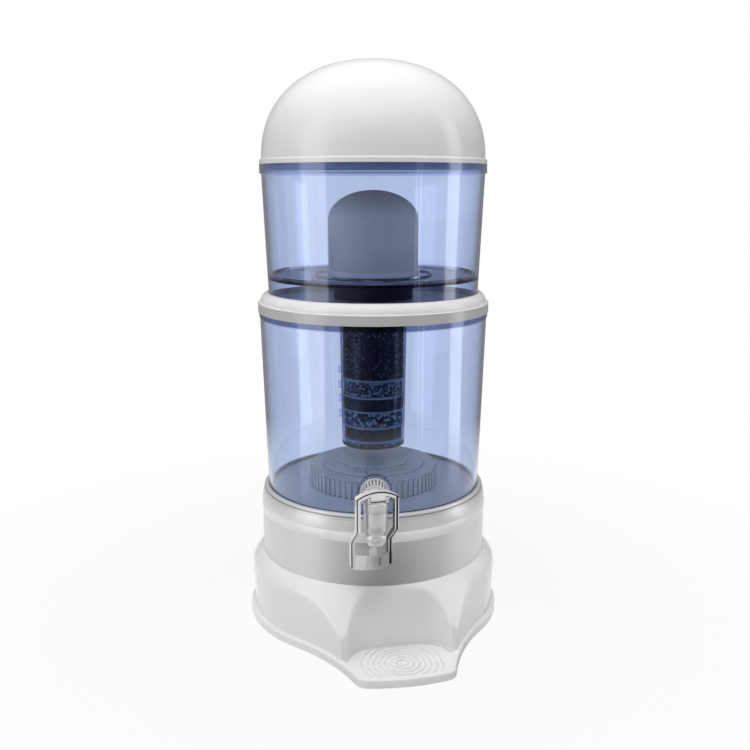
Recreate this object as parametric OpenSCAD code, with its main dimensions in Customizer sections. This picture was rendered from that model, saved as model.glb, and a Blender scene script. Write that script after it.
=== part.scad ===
// Gravity water filter with tap: a domed lid, a clear upper tank with a ceramic dome,
// a layered cartridge hanging into a clear lower tank, and a stand with a drip tray.
// The axis of the tanks is the Z axis, the stand rests on Z = 0, and its front faces -Y.

/* [Stand] */
// Distance that the base plate reaches past the stand's wall
plate_out = 3; // [2:0.5:6]
// Thickness of the base plate at its rim
plate_t = 9; // [7:0.5:14]
// Distance that the drip tray reaches past the round part of the base plate
tray_out = 56; // [50:1:70]
// Radius of the hollow curves beside the drip tray
scallop_r = 225; // [200:1:260]
// Angle between the front and the middle of each hollow curve
scallop_turn = 46; // [44:1:50]
// Distance from the neck out to the stand's wall round the back
skirt_out = 13.2; // [10:0.1:18]
// Height of the crease ring where the shoulder meets the neck
shoulder_z = 76; // [70:1:90]
// Distance that the middle of each front post stands past the round of the plate
post_out = 15; // [12:1:19]
// Radius of the rounded front posts
post_r = 6; // [5:0.5:7]
// Distance from the round of the plate in to the back wall of the cup niche
niche_in = 12; // [9:0.5:13]
// Radius of the inner corners of the cup niche
niche_corner_r = 24; // [20:1:26]
// Distance that the neck stands out past the lower tank's wall
neck_out = 1.8; // [1:0.2:3]
// Height of the top of the neck
neck_top_z = 124; // [115:1:130]
// Height of the top of the white trim ring
trim_top_z = 135; // [132:1:138]
// Height of the top lip of the seat ring
seat_top_z = 153.4; // [150:0.2:158]
// Wall of the stand's mouldings
stand_wall = 3; // [2:0.5:4]

/* [Lower tank] */
// Outer radius below the rim of the lower tank, from which the other radii follow
lower_top_r = 127; // [110:0.5:150]
// Distance that the lower tank narrows from its rim to its foot
lower_taper = 5.8; // [4:0.1:7]
// Height of the shoulder that carries the divider ring
lower_rim_z = 352; // [330:1:380]
// Wall of both tanks
tank_wall = 3; // [2:0.5:3.5]

/* [Upper tank] */
// Distance that the upper tank is narrower than the lower one, at their rims
upper_in = 5; // [4:0.2:8]
// Distance that the upper tank narrows from its rim to its foot
upper_taper = 5.2; // [4:0.1:8]
// Distance that the rim stands out past the upper tank's wall
upper_rim_w = 2; // [1.6:0.2:4]
// Height from the seat of the upper tank to its floor
upper_floor_h = 24.9; // [22:0.1:30]
// Height from the floor of the upper tank to its rim
upper_h = 119.9; // [105:0.1:150]

/* [Lid] */
// Height of the dome above its rim
dome_h = 103.5; // [80:0.5:120]
// Distance from the upper tank's rim in to the foot of the dome
dome_in = 2.3; // [1.4:0.1:5]
// Wall of the lid
lid_wall = 2.5; // [2:0.1:3]

/* [Filters] */
// Radius of the ceramic dome
ceramic_r = 50; // [44:1:56]
// Height of the ceramic dome above its base
ceramic_h = 87; // [76:1:95]
// Outer radius at the top of the cartridge
cartridge_r = 38.2; // [36:0.2:40]
// Outer radius at the foot of the cartridge
cartridge_foot_r = 35.9; // [34:0.1:38]
// Height of the cartridge's foot above the floor of the lower tank
cartridge_gap = 47; // [36:1:80]
// Outer radius of the mineral case
case_r = 74; // [68:1:80]
// Height of the mineral case's ribbed wall
case_h = 20; // [16:1:24]
// Number of ribs round the mineral case
case_ribs = 66; // [48:2:80]

/* [Tap] */
// Height of the tap's shank above the table
shank_z = 178; // [176:0.5:182]
// Distance from the neck out to the middle of the tap's barrel
barrel_out = 43.2; // [41:0.2:48]
// Angle of the tap from the front of the stand
tap_turn = -9.5; // [-12:0.5:0]
// Angle of the lever from the line of the shank
lever_turn = 15; // [0:0.5:16]
// Largest radius of the barrel
barrel_r = 12.3; // [11.5:0.1:13]
// Radius of the bore that the water leaves by
spout_bore_r = 5.5; // [4:0.1:6]
// Radius of the threaded shank
shank_r = 8; // [7:0.1:8.5]
// Radius of the ribbed collar nut
collar_r = 16; // [14:0.5:17]
// Number of ribs round the collar nut
collar_ribs = 26; // [18:2:32]
// Width of the lever's loop
lever_w = 43; // [42:0.5:46]
// Width of the lever's side bars
lever_bar_w = 4; // [3.5:0.1:4.4]
// Depth of the lever's side bars
lever_bar_d = 8; // [6:0.5:9]
// Distance that the lower half of the lever is set back
lever_step = 22; // [18:0.5:23]

/* [Hidden] */
$fn = 96;

// Overrun of every cut, clearance of what lifts out, and clearance of a pin in its bore
cut = 1;
slack = 0.3;
run = 0.05;

// Colours, as the photograph shows them
white = [0.95, 0.95, 0.96];
silver = [0.8, 0.81, 0.83];
tint = [0.5, 0.62, 0.86, 0.45];
chrome = [0.72, 0.73, 0.75];
dark = [0.12, 0.14, 0.2];
grit = [0.55, 0.53, 0.5];

// Direction in plan, turned from the front (-Y) towards +X, and the turn of a vector
function dir(a) = [sin(a), -cos(a)];
function bearing(v) = atan2(v[0], -v[1]);

// Angle at the axis between two points "far" and "near" from it that lie "gap" apart
function turn_between(far, near, gap) = acos((far * far + near * near - gap * gap) / (2 * far * near));

// Outline points: place, outward direction and size of the crease above
function arc(c, r, a0, a1, n, out, e0 = 0, e1 = 0) =
    [for (i = [0 : n - 1]) let (s = i / n, a = a0 + (a1 - a0) * s)
        [c + r * dir(a), out * dir(a), e0 + (e1 - e0) * s]];
function line(p, q, n, out, e0 = 0, e1 = 0) =
    [for (i = [0 : n - 1]) let (s = i / n) [p + (q - p) * s, out, e0 + (e1 - e0) * s]];
function flip(q) = [[-q[0][0], q[0][1]], [-q[1][0], q[1][1]], q[2]];
function both_sides(half) = concat(half, [for (i = [len(half) - 2 : -1 : 1]) flip(half[i])]);
function inset(outline, d) = [for (q = outline) q[0] - d * q[1]];

// Radii of the tanks, the stand and the lid, all from the lower tank's
lower_foot_r = lower_top_r - lower_taper;
upper_top_r = lower_top_r - upper_in;
upper_foot_r = upper_top_r - upper_taper;
upper_rim_r = upper_top_r + upper_rim_w;
dome_r = upper_rim_r - dome_in;
neck_r = lower_top_r + neck_out;
skirt_r = neck_r + skirt_out;
plate_r = skirt_r + plate_out;
tray_reach = plate_r + tray_out;
niche_back = plate_r - niche_in;
post_reach = plate_r + post_out;
barrel_reach = neck_r + barrel_out;

// Base plate with its drip tray
tray_corner_r = 14;
plate_edge_step = 1.4;
plate_edge_h = 1.6;
plate_edge_steps = 4;
plate_foot_edge = 0.5;
tray_rim_w = 6;
tray_depth = 2;
plate_floor_t = 3;
plate_pocket_in = 23;
plate_pocket_r = plate_r - plate_pocket_in;
plate_rib_w = 2.4;
plate_ribs = 8;
ring_pitch = 6;
ring_w = 2.6;
ring_top_w = 1.2;
ring_count = 7;
ring_reach = (niche_back + tray_reach) / 2;
scallop_reach = plate_r + scallop_r;
scallop_at = scallop_reach * dir(scallop_turn);
tray_corner_reach = tray_reach - tray_corner_r;
tray_corner_turn = scallop_turn
    - turn_between(scallop_reach, tray_corner_reach, scallop_r + tray_corner_r);
tray_corner_at = tray_corner_reach * dir(tray_corner_turn);
plate_outline = both_sides(concat(
    arc([0, 0], tray_reach, 0, tray_corner_turn, 6, 1),
    arc(tray_corner_at, tray_corner_r, tray_corner_turn, bearing(scallop_at - tray_corner_at), 8, 1),
    arc(scallop_at, scallop_r, bearing(tray_corner_at - scallop_at), bearing(-scallop_at), 14, -1),
    arc([0, 0], plate_r, scallop_turn, 180, 36, 1),
    [[plate_r * dir(180), dir(180), 0]]));

// Skirt: its wall follows the plate, opens into the cup niche and leans in at the shoulder
shoulder_edge = 0.5;
post_top_z = 39;
niche_crease = 2;
post_crease = 2.4;
skirt_crease = 3;
skirt_draft = 2.4;
crease_steps = 4;
shoulder_soft = 4.5;
shoulder_steps = 5;
shoulder_r = neck_r + shoulder_edge;
shoulder_fall = shoulder_z + shoulder_soft - post_top_z;
shoulder_slope = sqrt(shoulder_fall * shoulder_fall - shoulder_soft * shoulder_soft)
    / (post_reach + post_r / 2 - shoulder_r);
shoulder_stretch = sqrt(1 + shoulder_slope * shoulder_slope);
skirt_scallop_r = scallop_reach - skirt_r;
post_at = post_reach * dir(scallop_turn
    - turn_between(scallop_reach, post_reach, skirt_scallop_r + post_r));
niche_corner_y = -(niche_back + niche_corner_r);
niche_corner_at = [post_at[0] - sqrt(pow(niche_corner_r + post_r, 2)
    - pow(niche_corner_y - post_at[1], 2)), niche_corner_y];
skirt_outline = both_sides(concat(
    line([0, -niche_back], [niche_corner_at[0], -niche_back], 5, dir(0), niche_crease, niche_crease),
    arc(niche_corner_at, niche_corner_r, 180, bearing(post_at - niche_corner_at), 10, -1,
        niche_crease, post_crease),
    arc(post_at, post_r, bearing(niche_corner_at - post_at), bearing(scallop_at - post_at), 12, 1,
        post_crease, post_crease),
    arc(scallop_at, skirt_scallop_r, bearing(post_at - scallop_at), bearing(-scallop_at), 16, -1,
        post_crease, skirt_crease),
    arc([0, 0], skirt_r, scallop_turn, 180, 30, 1, skirt_crease, skirt_crease),
    [[skirt_r * dir(180), dir(180), skirt_crease]]));

// Neck, trim ring and seat ring of the stand
spigot_h = 6;
neck_flange_w = 32.8;
tower_r = 6;
tower_in = 24.8;
tower_reach = neck_r - tower_in;
towers = 4;
screw_r = 2;
screw_head_r = 4.3;
screw_head_h = 2;
screw_bite = 14;
screw_hole_r = screw_r + slack;
trim_bulge = 1.1;
trim_w = 12;
trim_steps = 10;
seat_floor_t = 6;
seat_floor_w = 11;
seat_band_h = 5.5;
seat_lip_w = 4;
seat_lip_h = 2.4;
seat_taper = 2.4;
seat_gap = 0.5;
seat_ledge_z = trim_top_z + seat_floor_t;
seat_bore_r = lower_foot_r + seat_gap;

// Lower tank, with the round pad and the hole for the tap's shank
tank_foot_h = 7;
tank_corner = 3;
lower_rim_h = 5;
lower_rim_w = 0.9;
lower_neck_in = 0.8;
lower_neck_h = 8;
lower_floor_z = seat_ledge_z + tank_foot_h + tank_wall;
lower_rim_r = lower_top_r + lower_rim_w;
lower_neck_r = lower_top_r - lower_neck_in;
lower_neck_top_z = lower_rim_z + lower_neck_h;
lower_wall_top_z = lower_rim_z - lower_rim_h;
function lower_r(z) = lower_foot_r
    + (lower_top_r - lower_foot_r) * (z - seat_top_z) / (lower_wall_top_z - seat_top_z);
tap_pad_r = 18;
tap_pad_out = 1.5;
tap_pad_in = 2.1;
tap_face = lower_r(shank_z) + tap_pad_out;
tap_back = lower_r(shank_z) - tank_wall - tap_pad_in;

// Divider ring between the tanks
divider_band_h = 11;
divider_roll_h = 9;
divider_step = 3.4;
divider_plate_t = 3;
divider_seat_h = 14.5;
divider_hole_gap = 2.8;
roll_steps = 8;
upper_seat_z = lower_rim_z + divider_seat_h;
divider_r = lower_rim_r + 2 * shoulder_edge;
divider_in_r = lower_neck_r + slack;
divider_roll_r = divider_r - divider_step;
divider_lip_r = upper_foot_r + shoulder_edge;
divider_band_top_z = lower_rim_z + divider_band_h;
divider_top_z = divider_band_top_z + divider_roll_h + tank_wall / 2;

// Upper tank
upper_rim_h = 9.6;
upper_hole_gap = 0.3;
floor_ridge_r = 65;
floor_ridge_w = 3;
floor_ridge_h = 1.8;
upper_floor_z = upper_seat_z + upper_floor_h;
upper_rim_z = upper_floor_z + upper_h;
upper_wall_top_z = upper_rim_z - upper_rim_h;
upper_in_r = upper_top_r - tank_wall;

// Lid: the dome's section is a superellipse
dome_power = 2.2;
dome_steps = 28;
lid_rim_h = 5.7;
lid_rim_in = 1.2;
lid_spigot_h = 6;
lid_spigot_gap = 0.4;
lid_base_z = upper_rim_z + lid_rim_h;

// Ceramic dome, its base, and the threaded stem that goes through the floor
ceramic_wall = 9;
ceramic_crown_share = 0.37;
crown_steps = 12;
ceramic_base_t = 4.1;
ceramic_base_w = 1.5;
washer_t = 1.5;
washer_r = 18;
filter_stem_r = 6;
filter_stem_bore_r = 3;
filter_stem_drop = 19;
filter_nut_r = 14;
filter_nut_t = 4;
ceramic_spigot_h = 5;
ceramic_z = upper_floor_z + washer_t + ceramic_base_t;
filter_nut_z = upper_floor_z - tank_wall - filter_nut_t;

// Cartridge: a cap under the floor, a tapered shell, beds of media and pads between them
cap_r = 44;
cap_wall = 3;
cap_top_t = 3.5;
shell_wall = 2;
shell_flange_w = 2.6;
shell_flange_gap = 0.2;
foot_t = 3;
foot_plug_h = 3;
foot_holes = 12;
foot_hole_r = 2;
foot_hole_reach_share = 0.6;
pad_t = 2.4;
clip_out = 3;
clip_h = 8;
clip_w = 3;
clip_turn = -100;
cap_bottom_z = upper_seat_z + slack;
cap_underside_z = filter_nut_z - cap_top_t;
cartridge_foot_z = lower_floor_z + cartridge_gap;
shell_z = cartridge_foot_z + foot_t;
shell_flange_z = cap_bottom_z + shoulder_edge;
media_z = shell_z + foot_plug_h;
media_h = lower_rim_z - media_z;
bed_top_share = [0.11, 0.235, 0.345, 0.475, 0.96];
clip_share = [0.19, 0.31, 0.42, 0.54];
function shell_r(z) = cartridge_foot_r
    + (cartridge_r - cartridge_foot_r) * (z - shell_z) / (shell_flange_z - shell_z);
function bed_top(i) = media_z + media_h * bed_top_share[i];
function bed_bottom(i) = i == 0 ? media_z + pad_t : bed_top(i - 1) + pad_t;

// Mineral case on the floor of the lower tank
case_wall = 2.5;
rib_depth = 1.6;
rib_fill_share = 0.55;
case_lid_t = 2;
case_step_r = 58;
case_step_h = 4;
case_centre_r = 43;
case_centre_h = 3;
case_centre_sides = 8;
slot_w = 1.6;
slot_len = 6;
slot_pitch = 5.2;
slot_count = 4;
slot_reach = 50;
slot_turns = [-24, 24, 156, 204];
slot_lean = 35;
stones_fill_share = 0.8;
case_lid_z = lower_floor_z + case_h;

// Tap: heights are counted from the shank's axis, and depths from the barrel's axis
tap_washer_t = 2;
tap_washer_w = 6;
collar_len = 13.9;
collar_flange_t = 3;
collar_taper = 1.2;
collar_rib_depth = 1.7;
tank_nut_r = 14;
tank_nut_t = 8;
shank_tail = 4;
shank_bore_r = 5;
shoulder_w = 2;
barrel_top_h = 8;
spout_drop = 37;
seat_drop = 19;
chamber_r = 7.5;
throat_r = 4.6;
throat_h = 4;
barrel_z = shank_z - spout_drop;
barrel_h = spout_drop + barrel_top_h;
valve_seat_z = shank_z - seat_drop;
barrel_top_z = shank_z + barrel_top_h;
// Section of the barrel: shares of its largest radius and of its height
barrel_shares = [
    [0.64, 0], [0.68, 0.013], [0.68, 0.09], [0.72, 0.1], [0.8, 0.115], [0.845, 0.145],
    [0.853, 0.18], [0.845, 0.22], [0.8, 0.253], [0.74, 0.267], [0.74, 0.298], [0.8, 0.312],
    [0.87, 0.345], [0.92, 0.39], [0.955, 0.46], [0.967, 0.55], [0.96, 0.68], [0.94, 0.79],
    [0.985, 0.8], [1, 0.813], [1, 0.98], [0.95, 1]
];
bonnet_t = 1.2;
bonnet_in = 1;
bonnet_plug_h = 2.6;
pivot_ahead = 7;
pivot_h = 12;
pivot_r = 1;
ear_r = 2.1;
ear_t = 2.5;
hub_w = 14.8;
hub_gap = 0.35;
hub_r = 2.4;
hub_back = 4.5;
hub_lift = 2;
slot_half_w = 2.75;
slot_ahead = 3.6;
link_r = 1;
link_gap = 0.45;
pivot_z = shank_z + pivot_h;

// Valve: seal, stem with an eye, and a spring that presses the seal down
stem_r = 2;
eye_half_w = 2.4;
eye_half_d = 2.6;
eye_h = 4.3;
eye_up = 2;
seal_r = 6.9;
seal_t = 4;
seal_tip_r = 3.6;
seal_tip_h = 2.5;
seal_gap = 0.05;
seal_hold = 2.5;
spring_r = 4.4;
spring_wire_r = 0.6;
spring_turns = 6;
spring_steps = 12;
spring_sides = 6;
seal_top_z = valve_seat_z + seal_gap + seal_t;
spring_z = seal_top_z + spring_wire_r;
spring_top_z = barrel_top_z - bonnet_plug_h - spring_wire_r;

// Lever: an arched loop above, stepped back to a curved paddle below
arch_up = 8;
arch_rise = 6.5;
bar_drop = 32.5;
step_drop = 18.5;
paddle_drop = 80;
paddle_h = 15;
paddle_t = 2;
paddle_bulge = 6;
paddle_tab_w = 7.4;
paddle_tab_h = 5.4;
grip_bars = 4;
grip_bar_w = 1.4;
grip_bar_h = 8;
grip_pitch = 5;
grip_out = 0.5;
arch_half_w = lever_w / 2;
arch_top_z = pivot_z + arch_up;
arch_r = (arch_half_w * arch_half_w + arch_rise * arch_rise) / (2 * arch_rise);
arch_centre_z = arch_top_z - arch_r;
bar_bottom_z = pivot_z - bar_drop;
step_bottom_z = bar_bottom_z - step_drop;
paddle_z = pivot_z - paddle_drop;
paddle_half_w = arch_half_w - lever_bar_w;
paddle_r = (paddle_half_w * paddle_half_w + paddle_bulge * paddle_bulge) / (2 * paddle_bulge);
paddle_front = lever_step - lever_bar_d - paddle_bulge;

// Tube about the Z axis from z0 to z1
module tube(r_out, r_in, z0, z1) {
    translate([0, 0, z0]) difference() {
        cylinder(r = r_out, h = z1 - z0);
        translate([0, 0, -cut]) cylinder(r = r_in, h = z1 - z0 + 2 * cut);
    }
}

// Solid of revolution from points [radius, height]
module turned(points) {
    rotate_extrude() polygon(points);
}

// Places its children in line with the tap's shank, which points along -Y
module on_shank() {
    rotate([0, 0, tap_turn]) children();
}

// Cylinder about the shank's axis, from one distance off the tanks' axis to another
module along_shank(r, y0, y1) {
    on_shank() translate([0, -y0, shank_z]) rotate([90, 0, 0]) cylinder(r = r, h = y1 - y0);
}

// Places its children at the barrel's axis, turned as the lever faces
module at_barrel() {
    rotate([0, 0, tap_turn]) translate([0, -barrel_reach, 0]) rotate([0, 0, lever_turn]) children();
}

// Round bar along X about the lever's frame, at a distance ahead of the barrel's axis
module cross_bar(r, ahead, z, half_w) {
    translate([-half_w, -ahead, z]) rotate([0, 90, 0]) cylinder(r = r, h = 2 * half_w);
}

// Screw places round the stand
module at_towers() {
    for (i = [0 : towers - 1]) rotate([0, 0, 360 * (i + 0.5) / towers])
        translate([tower_reach, 0, 0]) children();
}

// Ripple rings of the tray, raised from its floor
module tray_rings() {
    translate([0, -ring_reach, plate_t - tray_depth]) for (i = [1 : ring_count])
        rotate_extrude() polygon([
            [i * ring_pitch - ring_w / 2, -cut], [i * ring_pitch + ring_w / 2, -cut],
            [i * ring_pitch + ring_w / 2, 0], [i * ring_pitch + ring_top_w / 2, tray_depth],
            [i * ring_pitch - ring_top_w / 2, tray_depth], [i * ring_pitch - ring_w / 2, 0]]);
}

// Plan of the sunk part of the tray, between its rim and the skirt
module tray_plan() {
    difference() {
        polygon(inset(plate_outline, tray_rim_w));
        polygon(inset(skirt_outline, -slack));
    }
}

// Solid over an outline, whose edge follows a profile of [inset, height] from below
module slab(outline, profile) {
    n = len(outline);
    m = len(profile);
    polyhedron(
        points = [for (p = profile, at = inset(outline, p[0])) [at[0], at[1], p[1]]],
        faces = concat([[for (i = [0 : n - 1]) i], [for (i = [n - 1 : -1 : 0]) (m - 1) * n + i]],
            [for (j = [0 : m - 2], i = [0 : n - 1])
                [j * n + i, (j + 1) * n + i, (j + 1) * n + (i + 1) % n, j * n + (i + 1) % n]]));
}

module base_plate() {
    color(white) union() {
        difference() {
            slab(plate_outline, concat([[plate_foot_edge, 0], [0, plate_foot_edge]],
                [for (i = [0 : plate_edge_steps]) let (a = 90 * i / plate_edge_steps)
                    [plate_edge_step * (1 - cos(a)), plate_t - plate_edge_h * (1 - sin(a))]]));
            translate([0, 0, plate_t - tray_depth]) linear_extrude(tray_depth + cut) tray_plan();
            difference() {
                translate([0, 0, plate_floor_t]) cylinder(r = plate_pocket_r, h = plate_t);
                for (i = [0 : plate_ribs / 2 - 1]) rotate([0, 0, 360 * i / plate_ribs])
                    translate([-plate_pocket_r, -plate_rib_w / 2, 0])
                        cube([2 * plate_pocket_r, plate_rib_w, plate_t]);
                at_towers() cylinder(r = tower_r + stand_wall / 2, h = plate_t);
            }
            at_towers() translate([0, 0, -cut]) {
                cylinder(r = screw_hole_r, h = plate_t + 2 * cut);
                cylinder(r = screw_head_r + slack, h = cut + screw_head_h + slack);
            }
        }
        intersection() {
            tray_rings();
            translate([0, 0, plate_floor_t]) linear_extrude(plate_t) tray_plan();
        }
    }
}

// Rings of the skirt's surface: down the outside of the mould, then up its inside
function skirt_z(p) = shoulder_z + shoulder_soft
    - norm([shoulder_soft, shoulder_slope * (norm(p) - shoulder_r)]);
function crease_point(q, t) = let (p = q[0] - q[2] * t * t * q[1])
    [p[0], p[1], skirt_z(p) - shoulder_stretch * q[2] * (1 - t) * (1 - t)];
function skirt_ring(q) = let (
    lean = skirt_draft * (q[2] - niche_crease) / (skirt_crease - niche_crease),
    foot = q[0] - lean * q[1], inner_foot = q[0] - (lean + stand_wall) * q[1],
    top = q[0] - q[2] * q[1], inner = q[0] - stand_wall * q[1],
    edge = shoulder_r * top / norm(top), lip = (shoulder_r - stand_wall) * top / norm(top)) concat(
    [[foot[0], foot[1], plate_t]],
    [for (j = [0 : crease_steps]) crease_point(q, j / crease_steps)],
    [for (j = [1 : shoulder_steps - 1]) let (p = top + (edge - top) * j / shoulder_steps)
        [p[0], p[1], skirt_z(p)]],
    [[edge[0], edge[1], shoulder_z], [lip[0], lip[1], shoulder_z],
     [inner[0], inner[1], skirt_z(inner) - stand_wall * shoulder_stretch],
     [inner_foot[0], inner_foot[1], plate_t]]);

module base_skirt() {
    rings = [for (q = skirt_outline) skirt_ring(q)];
    n = len(rings);
    m = len(rings[0]);
    color(white) polyhedron(
        points = [for (ring = rings) each ring],
        faces = [for (i = [0 : n - 1], j = [0 : m - 1])
            [i * m + j, i * m + (j + 1) % m, ((i + 1) % n) * m + (j + 1) % m, ((i + 1) % n) * m + j]]);
}

module stand_neck() {
    spigot_r = shoulder_r - stand_wall - slack;
    color(silver) difference() {
        union() {
            turned([[spigot_r - stand_wall, shoulder_z - spigot_h], [spigot_r, shoulder_z - spigot_h],
                [spigot_r, shoulder_z], [neck_r, shoulder_z], [neck_r, neck_top_z],
                [neck_r - neck_flange_w, neck_top_z], [neck_r - neck_flange_w, neck_top_z - stand_wall],
                [neck_r - stand_wall, neck_top_z - stand_wall],
                [neck_r - stand_wall, shoulder_z + spigot_h],
                [spigot_r - stand_wall, shoulder_z + stand_wall]]);
            at_towers() translate([0, 0, plate_t])
                cylinder(r = tower_r, h = neck_top_z - stand_wall / 2 - plate_t);
        }
        at_towers() translate([0, 0, plate_t - cut])
            cylinder(r = screw_r + run, h = screw_bite + cut + stand_wall);
    }
}

module base_screws() {
    color(chrome) at_towers() {
        translate([0, 0, slack]) cylinder(r = screw_head_r, h = screw_head_h);
        translate([0, 0, slack]) cylinder(r = screw_r, h = plate_t + screw_bite);
    }
}

module neck_trim() {
    color(white) turned(concat(
        [[neck_r - trim_w, trim_top_z], [neck_r - trim_w, neck_top_z]],
        [for (i = [0 : trim_steps]) let (s = i / trim_steps)
            [neck_r + trim_bulge * 4 * s * (1 - s), neck_top_z + (trim_top_z - neck_top_z) * s]]));
}

module seat_ring() {
    lip_z = seat_top_z - seat_lip_h;
    color(silver) turned([
        [seat_bore_r - seat_floor_w, trim_top_z], [neck_r, trim_top_z], [neck_r, trim_top_z + seat_band_h],
        [neck_r - seat_taper, lip_z], [seat_bore_r + seat_lip_w, lip_z + seat_gap],
        [seat_bore_r + seat_lip_w - seat_gap, seat_top_z - seat_gap],
        [seat_bore_r + seat_lip_w - 2 * seat_gap, seat_top_z], [seat_bore_r, seat_top_z],
        [seat_bore_r, seat_ledge_z], [seat_bore_r - seat_floor_w, seat_ledge_z]]);
}

module lower_tank() {
    foot_in = lower_foot_r - tank_wall;
    top_in = lower_top_r - tank_wall;
    color(tint) difference() {
        union() {
            turned([
                [foot_in, seat_ledge_z], [lower_foot_r, seat_ledge_z], [lower_foot_r, seat_top_z],
                [lower_top_r, lower_wall_top_z], [lower_rim_r, lower_wall_top_z],
                [lower_rim_r, lower_rim_z], [lower_neck_r, lower_rim_z],
                [lower_neck_r, lower_neck_top_z], [top_in, lower_neck_top_z],
                [top_in, lower_wall_top_z], [foot_in, lower_floor_z + tank_corner],
                [foot_in - tank_corner, lower_floor_z], [0, lower_floor_z],
                [0, lower_floor_z - tank_wall], [foot_in, lower_floor_z - tank_wall]]);
            along_shank(tap_pad_r, tap_back, tap_face);
        }
        along_shank(shank_r + slack, tap_back - cut, tap_face + cut);
    }
}

module upper_tank() {
    foot_in = upper_foot_r - tank_wall;
    color(tint) difference() {
        turned([
            [foot_in, upper_seat_z], [upper_foot_r, upper_seat_z], [upper_foot_r, divider_top_z],
            [upper_top_r, upper_wall_top_z], [upper_rim_r, upper_wall_top_z],
            [upper_rim_r, upper_rim_z], [upper_in_r, upper_rim_z],
            [upper_in_r, upper_wall_top_z], [foot_in, upper_floor_z + tank_corner],
            [foot_in - tank_corner, upper_floor_z],
            [floor_ridge_r + floor_ridge_w / 2, upper_floor_z],
            [floor_ridge_r + floor_ridge_w / 4, upper_floor_z + floor_ridge_h],
            [floor_ridge_r - floor_ridge_w / 4, upper_floor_z + floor_ridge_h],
            [floor_ridge_r - floor_ridge_w / 2, upper_floor_z], [0, upper_floor_z],
            [0, upper_floor_z - tank_wall], [foot_in, upper_floor_z - tank_wall]]);
        translate([0, 0, upper_floor_z - tank_wall - cut])
            cylinder(r = filter_stem_r + upper_hole_gap, h = tank_wall + 2 * cut);
    }
}

module divider_ring() {
    hole_r = cartridge_r + divider_hole_gap;
    plate_z = upper_seat_z - divider_plate_t;
    color(white) turned(concat(
        [[divider_in_r, lower_rim_z], [divider_r, lower_rim_z],
         [divider_r, divider_band_top_z - shoulder_edge],
         [divider_r - shoulder_edge, divider_band_top_z],
         [divider_roll_r - shoulder_edge, divider_band_top_z]],
        [for (i = [0 : roll_steps]) let (a = 90 * i / roll_steps)
            [divider_lip_r + (divider_roll_r - divider_lip_r) * cos(a),
             divider_band_top_z + tank_wall / 2 + divider_roll_h * sin(a)]],
        [[divider_lip_r, upper_seat_z], [hole_r, upper_seat_z], [hole_r, plate_z],
         [lower_top_r - tank_wall - divider_plate_t, plate_z],
         [lower_top_r - tank_wall, lower_neck_top_z + slack],
         [divider_in_r, lower_neck_top_z + slack]]));
}

// Section of the dome, drawn in by the wall for its inside
function dome_point(a, r, h) =
    [r * pow(cos(a), 2 / dome_power), lid_base_z + h * pow(sin(a), 2 / dome_power)];

module dome_lid() {
    spigot_r = upper_in_r - lid_spigot_gap;
    color(white) turned(concat(
        [[spigot_r - lid_wall, upper_rim_z - lid_spigot_h], [spigot_r, upper_rim_z - lid_spigot_h],
         [spigot_r, upper_rim_z], [upper_rim_r, upper_rim_z],
         [upper_rim_r, lid_base_z - lid_rim_in], [upper_rim_r - lid_rim_in, lid_base_z]],
        [for (i = [0 : dome_steps]) dome_point(90 * i / dome_steps, dome_r, dome_h)],
        [for (i = [dome_steps : -1 : 0])
            dome_point(90 * i / dome_steps, dome_r - lid_wall, dome_h - lid_wall)],
        [[dome_r - lid_wall, upper_rim_z + lid_wall], [spigot_r - lid_wall, upper_rim_z + lid_wall]]));
}

module ceramic_dome() {
    crown_h = ceramic_h * ceramic_crown_share;
    in_r = ceramic_r - ceramic_wall;
    side_z = ceramic_z + ceramic_h - crown_h;
    color(white) turned(concat(
        [[in_r, ceramic_z], [ceramic_r, ceramic_z]],
        [for (i = [0 : crown_steps]) let (a = 90 * i / crown_steps)
            [ceramic_r * cos(a), side_z + crown_h * sin(a)]],
        [for (i = [crown_steps : -1 : 0]) let (a = 90 * i / crown_steps)
            [in_r * cos(a), side_z + (crown_h - ceramic_wall) * sin(a)]]));
}

module ceramic_base() {
    base_r = ceramic_r + ceramic_base_w;
    washer_top_z = upper_floor_z + washer_t;
    in_r = ceramic_r - ceramic_wall - slack;
    color(white) turned([
        [filter_stem_bore_r, upper_floor_z - filter_stem_drop],
        [filter_stem_r, upper_floor_z - filter_stem_drop], [filter_stem_r, washer_top_z],
        [base_r - ceramic_base_w, washer_top_z], [base_r - ceramic_base_w, upper_floor_z + slack],
        [base_r, upper_floor_z + slack], [base_r, ceramic_z], [in_r, ceramic_z],
        [in_r, ceramic_z + ceramic_spigot_h], [in_r - stand_wall, ceramic_z + ceramic_spigot_h],
        [in_r - stand_wall, ceramic_z], [filter_stem_bore_r, ceramic_z]]);
}

module ceramic_washer() {
    color(dark) tube(washer_r, filter_stem_r + run, upper_floor_z, upper_floor_z + washer_t);
}

module ceramic_nut() {
    color(white) translate([0, 0, filter_nut_z]) difference() {
        cylinder(r = filter_nut_r, h = filter_nut_t, $fn = 6);
        translate([0, 0, -cut]) cylinder(r = filter_stem_r + run, h = filter_nut_t + 2 * cut);
    }
}

module cartridge_cap() {
    color(dark) turned([
        [filter_stem_r + run, cap_underside_z], [filter_stem_r + run, filter_nut_z],
        [cap_r - shoulder_edge, filter_nut_z], [cap_r, filter_nut_z - shoulder_edge],
        [cap_r, cap_bottom_z], [cap_r - cap_wall, cap_bottom_z], [cap_r - cap_wall, cap_underside_z]]);
}

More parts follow.
